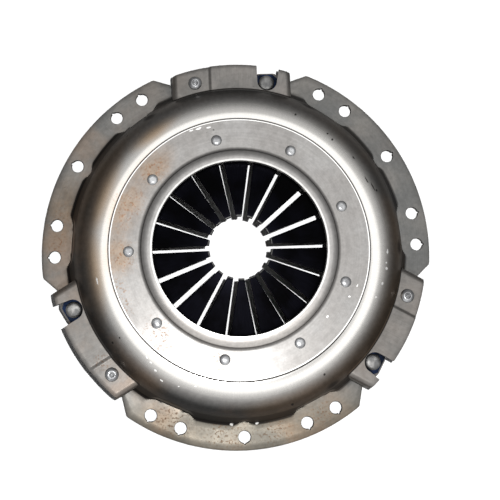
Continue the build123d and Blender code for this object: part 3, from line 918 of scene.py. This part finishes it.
def make_cover():
    outer_radii = np.concatenate(
        [
            spread((rim_end_radius, 0.7), (opening_radius, 0.25), (opening_radius + 0.5, 0.7)),
            spread((59.6, 0.8), (65.0, 0.4), (67.2, 1.6), (71.0, 5.0), (86.4, 0.5)),
            spread((86.7, 0.24), (88.1, 0.5), (90.0, 0.95), (107.0, 0.6), (118.0, 0.6), (120.0, 2.4)),
            spread((123.0, 4.0), (flange_radius - 1.2, 0.8), (flange_radius, 0.4)),
        ]
    )
    inner_radii = spread(
        (rim_end_radius, 1.2), (68.0, 4.0), (84.0, 2.0), (104.0, 0.9), (118.0, 2.0),
        (flange_radius - 0.4, 0.4), (flange_radius, 1),
    )
    outer = cover_grid(outer_radii, 0.0)
    inner = cover_grid(inner_radii, sheet)
    lines = outer.shape[0]
    points = np.concatenate([outer.reshape(-1, 3), inner.reshape(-1, 3)])
    faces = grid_faces(lines, len(outer_radii), closed=True, flip=True)
    start = lines * len(outer_radii)
    faces += grid_faces(lines, len(inner_radii), first=start, closed=True)
    for line in range(lines):
        after = (line + 1) % lines
        faces.append(
            [
                line * len(outer_radii) + len(outer_radii) - 1,
                after * len(outer_radii) + len(outer_radii) - 1,
                start + after * len(inner_radii) + len(inner_radii) - 1,
                start + line * len(inner_radii) + len(inner_radii) - 1,
            ]
        )
    cover = as_piece("cover_shell", points, faces, finishes["pressed_steel"])
    cut_away(cover, cutters())
    finish_shading(cover, 38.0)
    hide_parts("cover")
    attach(cover, "cover")


# Diaphragm spring
finger_count = 18
spring_thickness = 2.6
spring_angle = math.radians(11.5)
slot_half_width = 1.7
window_half_width = 4.8
window_start = 68.75
window_end = 79.25
window_corner = 3.0
tip_round = 3.0
tip_drop = 0.7
finger_bore_radius = 20.6
spring_rim_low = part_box("diaphragm_spring")[0].z / MM


def spring_mid_height(radius):
    """Middle of the spring's plate at a radius, as it lies free."""
    rim_middle = spring_rim_low + spring_thickness / 2 * math.cos(spring_angle)
    return rim_middle + (spring_radius - radius) * math.tan(spring_angle)


def slot_half_at(radius):
    """Half the gap between two fingers: the slot, and the window near the pivots."""
    if radius <= window_start:
        return slot_half_width
    depth = min(radius - window_start, window_end - radius, window_corner)
    corner = math.sqrt(max(window_corner**2 - (window_corner - depth) ** 2, 0.0))
    return window_half_width - window_corner + max(corner, 0.05)


def finger_points():
    """One finger with its share of the spring's outer ring, as two faces of a plate."""
    radii = np.concatenate(
        [
            spread((finger_bore_radius, 0.6), (finger_bore_radius + tip_round, 5.0), (window_start, 1)),
            window_start + window_corner * np.array([0.02, 0.1, 0.3, 0.6, 1.0]),
            window_end - window_corner * np.array([1.0, 0.6, 0.3, 0.1, 0.0]),
            spread((window_end + 1.5, 3.0), (spring_radius - 1, 1.0), (spring_radius, 1)),
        ]
    )
    share_of_turn = math.pi / finger_count
    across = np.linspace(-1, 1, 7)
    points, faces = [], []
    for side in (1, -1):
        for radius in radii:
            half = share_of_turn - math.asin(slot_half_at(min(radius, window_end)) / radius)
            angles = [-share_of_turn] + [half * share for share in across] + [share_of_turn]
            drop = tip_drop * max(0.0, 1 - (radius - finger_bore_radius) / tip_round) ** 2
            lift = side * spring_thickness / 2
            place = radius + lift * math.sin(spring_angle)
            height = spring_mid_height(radius) + lift * math.cos(spring_angle) - drop
            points.extend((place * math.cos(angle), place * math.sin(angle), height) for angle in angles)
    columns = len(across) + 2
    lower = len(radii) * columns
    for row in range(len(radii) - 1):
        in_ring = radii[row] >= window_end - 1e-6
        for column in range(columns - 1):
            if not in_ring and column in (0, columns - 2):
                continue
            corner = row * columns + column
            quad = [corner, corner + columns, corner + columns + 1, corner + 1]
            faces.append(quad)
            faces.append([lower + point for point in quad[::-1]])
        for column in (1, columns - 2):
            if not in_ring:
                corner = row * columns + column
                faces.append([corner, corner + columns, lower + corner + columns, lower + corner])
    ring_row = int(np.argmax(radii >= window_end - 1e-6))
    ends = [(0, column) for column in range(1, columns - 2)]
    ends += [(len(radii) - 1, column) for column in range(columns - 1)]
    ends += [(ring_row, column) for column in (0, columns - 2)]
    for row, column in ends:
        corner = row * columns + column
        faces.append([corner, corner + 1, lower + corner + 1, lower + corner])
    return points, faces


# Geometry Nodes that set copies of one part round the axis
def ring_of_copies():
    """Tree that turns a part into a count of copies round Z, joined and given a material."""
    tree = bpy.data.node_groups.new("ring_of_copies", "GeometryNodeTree")
    face = tree.interface
    face.new_socket("Part", in_out="INPUT", socket_type="NodeSocketGeometry")
    face.new_socket("Copies", in_out="INPUT", socket_type="NodeSocketInt")
    face.new_socket("First Angle", in_out="INPUT", socket_type="NodeSocketFloat")
    face.new_socket("Merge", in_out="INPUT", socket_type="NodeSocketFloat")
    face.new_socket("Material", in_out="INPUT", socket_type="NodeSocketMaterial")
    face.new_socket("Ring", in_out="OUTPUT", socket_type="NodeSocketGeometry")
    given = tree.nodes.new("NodeGroupInput")
    result = tree.nodes.new("NodeGroupOutput")
    places = tree.nodes.new("GeometryNodeMeshLine")
    places.inputs["Offset"].default_value = (0, 0, 0)
    index = tree.nodes.new("GeometryNodeInputIndex")
    step = tree.nodes.new("ShaderNodeMath")
    step.operation = "DIVIDE"
    step.inputs[0].default_value = 2 * math.pi
    turn = tree.nodes.new("ShaderNodeMath")
    turn.operation = "MULTIPLY_ADD"
    aim = tree.nodes.new("ShaderNodeCombineXYZ")
    copies = tree.nodes.new("GeometryNodeInstanceOnPoints")
    real = tree.nodes.new("GeometryNodeRealizeInstances")
    merge = tree.nodes.new("GeometryNodeMergeByDistance")
    finish = tree.nodes.new("GeometryNodeSetMaterial")
    link = tree.links.new
    link(given.outputs["Copies"], places.inputs["Count"])
    link(given.outputs["Copies"], step.inputs[1])
    link(index.outputs[0], turn.inputs[0])
    link(step.outputs[0], turn.inputs[1])
    link(given.outputs["First Angle"], turn.inputs[2])
    link(turn.outputs[0], aim.inputs["Z"])
    link(places.outputs[0], copies.inputs["Points"])
    link(given.outputs["Part"], copies.inputs["Instance"])
    link(aim.outputs[0], copies.inputs["Rotation"])
    link(copies.outputs[0], real.inputs[0])
    link(real.outputs[0], merge.inputs["Geometry"])
    link(given.outputs["Merge"], merge.inputs["Distance"])
    link(merge.outputs[0], finish.inputs["Geometry"])
    link(given.outputs["Material"], finish.inputs["Material"])
    link(finish.outputs[0], result.inputs[0])
    return tree


copies_tree = ring_of_copies()


def repeat_round(piece, copies, first_angle=0.0, merge=0.0):
    """Replaces a part's mesh by copies of it round the Z axis."""
    material = piece.data.materials[0]
    modifier = piece.modifiers.new("copies", "NODES")
    modifier.node_group = copies_tree
    values = {"Copies": copies, "First Angle": first_angle, "Merge": merge * MM, "Material": material}
    for socket in copies_tree.interface.items_tree:
        if socket.name in values:
            modifier[socket.identifier] = values[socket.name]
    apply_modifiers(piece)


def make_spring():
    points, faces = finger_points()
    spring = as_piece("slit_spring", points, faces, finishes["spring_steel"])
    half_turn = math.pi / finger_count
    repeat_round(spring, finger_count, half_turn, merge=0.01)
    round_edges(spring, 0.3, angle=50.0)
    finish_shading(spring, 30.0)
    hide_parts("diaphragm_spring")
    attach(spring, "cover")
    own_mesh(spring)


def make_rings():
    for name in ("fulcrum_ring_upper", "fulcrum_ring_lower"):
        low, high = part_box(name)
        wire = (high.z - low.z) / 2 / MM
        centre_height = (high.z + low.z) / 2 / MM
        centre_radius = high.x / MM - wire
        section = []
        for step in range(17):
            angle = 2 * math.pi * step / 16
            section.append((centre_radius + wire * math.cos(angle), centre_height + wire * math.sin(angle)))
        ring = turned(name + "_wire", section, finishes["ring_wire"], turns=160)
        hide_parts(name)
        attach(ring, "cover")


# Drive straps
leaf_thickness = 0.8
strap_width = 13.0
strap_end = 8.0
strap_corner = 3.2
strap_flat = 8.5
strap_bend = 30.0


def leaf_grid(top_line, angle):
    """Points and faces of one leaf whose upper face follows a line of across and height."""
    stations = spread(
        (-strap_lug_offset - strap_end, 0.8), (-strap_lug_offset - strap_end + strap_corner, 1.2),
        (strap_cover_offset + strap_end - strap_corner, 0.8), (strap_cover_offset + strap_end, 1),
    )
    points = []
    for drop in (0.0, leaf_thickness):
        for station in stations:
            height = np.interp(station, top_line[:, 0], top_line[:, 1]) - drop
            room = min(station - stations[0], stations[-1] - station, strap_corner)
            half = strap_width / 2 - strap_corner + room
            for share in np.linspace(-1, 1, 7):
                x, y = turn_point((strap_line + half * share, station), angle)
                points.append((x, y, height))
    rows, columns = len(stations), 7
    lower = rows * columns
    faces = grid_faces(rows, columns, flip=True) + grid_faces(rows, columns, first=lower)
    for row in range(rows - 1):
        for column in (0, columns - 1):
            corner = row * columns + column
            faces.append([corner, corner + columns, lower + corner + columns, lower + corner])
    for row in (0, rows - 1):
        for column in range(columns - 1):
            corner = row * columns + column
            faces.append([corner, corner + 1, lower + corner + 1, lower + corner])
    return points, faces


def make_straps():
    for lobe in range(lobe_count):
        angle = first_lobe_angle + lobe * 2 * math.pi / lobe_count
        points, faces = [], []
        names = [f"strap_leaf_{leaf}_{lobe + 1}" for leaf in "abc"]
        for name in names:
            low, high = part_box(name)
            top = high.z / MM
            bottom = low.z / MM + leaf_thickness
            line = rounded_line(
                [
                    (-strap_lug_offset - strap_end, bottom),
                    (-strap_lug_offset + strap_flat, bottom),
                    (strap_cover_offset - strap_flat, top),
                    (strap_cover_offset + strap_end, top),
                ],
                [strap_bend, strap_bend],
            )
            new_points, new_faces = leaf_grid(line, angle)
            faces.extend([len(points) + corner for corner in face] for face in new_faces)
            points.extend(new_points)
        pack = as_piece(f"strap_pack_{lobe + 1}", points, faces, finishes["strap_steel"])
        finish_shading(pack, 35.0)
        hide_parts(*names)
        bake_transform(pack)


# Rivets: radii of their feet and shanks and height of their feet
pivot_foot_radius = 8.0
pivot_foot_height = 2.5
pivot_shank_radius = 3.5
strap_foot_radius = 5.0
strap_foot_height = 2.0
pad_shank_radius = 3.0
lug_shank_radius = 3.2


def rivet(name, section, radius, across, body, nodes, copies, first_angle, finish="plated_rivet"):
    """One rivet turned from its section, set off the axis and repeated round it."""
    piece = turned(name, section, finishes[finish], turns=36)
    piece.data.transform(Matrix.Translation(Vector((radius, across, 0)) * MM))
    repeat_round(piece, copies, first_angle)
    finish_shading(piece, 32.0)
    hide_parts(*nodes)
    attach(piece, body)


def rivet_foot(low, radius, height, shank, seat):
    """Half section of a rivet's set foot and its shank, from the axis up to its head's seat."""
    top = low + height
    return [(0.0, low), (radius - 0.6, low), (radius, low + 0.6), (radius, top), (shank, top), (shank, seat)]


def domed_head(radius, seat, edge, height, flatness=2.7):
    """Half section of a rivet head, from its foot on the sheet up its steep edge and dome to the axis."""
    section = [(radius - 0.3, seat), (radius, seat + 0.15), (radius, seat + edge)]
    for share in (0.97, 0.93, 0.88, 0.8, 0.7, 0.58, 0.45, 0.3, 0.15, 0.0):
        section.append((radius * share, seat + edge + (height - edge) * (1 - share**flatness) ** 0.75))
    return section


def set_head(radius, seat, height):
    """Half section of a head that the punch left with a ring round a dimple and its small boss."""
    outline = (
        (0.94, 0.0), (1.0, 0.08), (0.99, 0.28), (0.93, 0.45), (0.84, 0.60), (0.72, 0.78),
        (0.60, 0.93), (0.50, 1.0), (0.43, 0.97), (0.38, 0.84), (0.33, 0.68), (0.26, 0.62),
        (0.20, 0.66), (0.14, 0.76), (0.07, 0.82), (0.0, 0.84),
    )
    return [(radius * across, seat + height * up) for across, up in outline]


def make_rivets():
    pivots = [f"pivot_rivet_{number}" for number in range(1, 10)]
    low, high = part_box(pivots[0])
    first = math.atan2(middle(pivots[0]).y, middle(pivots[0]).x)
    section = rivet_foot(low.z / MM, pivot_foot_radius, pivot_foot_height, pivot_shank_radius, cover_height)
    section += domed_head(3.6, cover_height, 0.5, high.z / MM - cover_height)
    rivet("pivot_rivets", section, pivot_radius, 0.0, "cover", pivots, 9, first)

    names = [f"cover_strap_rivet_{number}" for number in range(1, 4)]
    low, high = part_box(names[0])
    seat = lobe_height - pad_drop
    section = rivet_foot(low.z / MM, strap_foot_radius, strap_foot_height, pad_shank_radius, seat)
    section += set_head(4.65, seat, high.z / MM - seat)
    rivet(
        "cover_strap_rivets", section, strap_line, strap_cover_offset, "cover",
        names, 3, first_lobe_angle,
    )

    names = [f"lug_rivet_{number}" for number in range(1, 4)]
    low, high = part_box(names[0])
    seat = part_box("strap_leaf_a_1")[0].z / MM + leaf_thickness
    section = rivet_foot(low.z / MM, strap_foot_radius, strap_foot_height, lug_shank_radius, seat)
    section += domed_head(5.5, seat, 1.6, high.z / MM - seat, 4.5)
    rivet(
        "lug_rivets", section, strap_line, -strap_lug_offset, "pressure_plate",
        names, 3, first_lobe_angle, "worn_rivet",
    )


# Pressure plate: the cast ring's own form, with its edges rounded
def make_plate():
    mesh = frame["nodes"]["pressure_plate"].data.copy()
    work = bmesh.new()
    work.from_mesh(mesh)
    bmesh.ops.remove_doubles(work, verts=work.verts, dist=0.003 * MM)
    bmesh.ops.dissolve_limit(
        work, angle_limit=math.radians(0.6), verts=work.verts, edges=work.edges, delimit={"NORMAL"}
    )
    work.to_mesh(mesh)
    work.free()
    plate = bpy.data.objects.new("cast_plate", mesh)
    scene.collection.objects.link(plate)
    plate.data.materials.clear()
    plate.data.materials.append(finishes["cast_iron"])
    round_edges(plate, 0.5, angle=30.0)
    finish_shading(plate, 32.0)
    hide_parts("pressure_plate")
    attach(plate, "pressure_plate")


# Floor and lights
def make_floor():
    bpy.ops.mesh.primitive_plane_add(size=6.0, location=(0, 0, -0.0003))
    floor = bpy.context.object
    floor.name = "floor"
    material, tree, shader, place = new_material("floor")
    rays = tree.add("ShaderNodeLightPath")
    radius, _, _ = tree.round_axis(place)
    # Reflections see the floor as dark grey, a painted reflection of darker surroundings
    colour = tree.mix(rays.outputs["Is Glossy Ray"], (0.92, 0.92, 0.92), (0.3, 0.29, 0.28))
    tree.put(shader.inputs["Base Color"], colour)
    tree.put(shader.inputs["Roughness"], 1.0)
    tree.put(shader.inputs["Specular IOR Level"], 0.0)
    outside = tree.ramp(radius, 141 * MM, 154 * MM, 0.0, 0.8)
    tree.put(shader.inputs["Emission Color"], (1.0, 1.0, 1.0, 1.0))
    tree.put(shader.inputs["Emission Strength"], tree.times(rays.outputs["Is Camera Ray"], outside))
    floor.data.materials.append(material)


sky_axis = Vector((0.11, -0.10, 0.99)).normalized()
low_window = Vector((0.0, -0.87, 0.5)).normalized()
low_window_level = 0.65
sky_strength = 2.0
sky_stops = (
    (0.0, 0.15),
    (0.2, 0.17),
    (0.5, 0.26),
    (0.70, 0.36),
    (0.81, 0.43),
    (0.862, 0.92),
    (0.975, 0.95),
    (0.992, 0.50),
    (1.0, 0.45),
)
soft_share = 0.012
flash_offset = Vector((51, 32, 0)) * MM
floor_flash_size = 0.008
glow_size = 0.03
floor_flash_power = 5.6
glow_offset = Vector((28, -108, 0)) * MM
glow_power = 1.3


def make_flash(name, power, offset, size):
    """A small lamp beside the lens."""
    lamp = bpy.data.lights.new(name, "AREA")
    lamp.shape = "DISK"
    lamp.size = size
    lamp.energy = power
    flash = bpy.data.objects.new(name, lamp)
    scene.collection.objects.link(flash)
    flash.location = camera_place + offset
    flash.rotation_euler = (-flash.location).to_track_quat("-Z", "Y").to_euler()
    return flash


def make_lights():
    world = bpy.data.worlds.new("studio")
    scene.world = world
    world.use_nodes = True
    tree = Tree(world.node_tree)
    background = world.node_tree.nodes["Background"]
    direction = tree.add("ShaderNodeTexCoord").outputs["Generated"]
    lean = tree.add("ShaderNodeVectorMath", operation="DOT_PRODUCT")
    tree.put(lean.inputs[0], direction)
    tree.put(lean.inputs[1], sky_axis)
    sky = tree.add("ShaderNodeValToRGB")
    sky.color_ramp.interpolation = "EASE"
    marks = sky.color_ramp.elements
    while len(marks) < len(sky_stops):
        marks.new(0.5)
    for mark, (position, level) in zip(marks, sky_stops):
        mark.position = position
        mark.color = (level, level, level, 1.0)
    tree.put(sky.inputs[0], lean.outputs["Value"])
    rays = tree.add("ShaderNodeLightPath")
    share = tree.blend(rays.outputs["Is Diffuse Ray"], 1.0, soft_share)
    towards = tree.add("ShaderNodeVectorMath", operation="DOT_PRODUCT")
    tree.put(towards.inputs[0], direction)
    tree.put(towards.inputs[1], low_window)
    window = tree.ramp(towards.outputs["Value"], 0.45, 0.95, 0.0, low_window_level)
    level = tree.most(sky.outputs["Color"], window)
    tree.put(background.inputs["Color"], (1.0, 1.0, 1.0, 1.0))
    strength = tree.times(level, sky_strength)
    tree.put(background.inputs["Strength"], tree.times(strength, share))
    glow = make_flash("glow", glow_power, glow_offset, glow_size)
    floor_flash = make_flash("floor_flash", floor_flash_power, flash_offset, floor_flash_size)
    for lamp, state in ((glow, "EXCLUDE"), (floor_flash, "INCLUDE")):
        receivers = bpy.data.collections.new(lamp.name + "_receivers")
        receivers.objects.link(bpy.data.objects["floor"])
        receivers.collection_objects[0].light_linking.link_state = state
        lamp.light_linking.receiver_collection = receivers


make_camera()
make_cover()
make_spring()
make_rings()
make_straps()
make_rivets()
make_plate()
make_floor()
make_lights()
scene.view_settings.view_transform = "Standard"
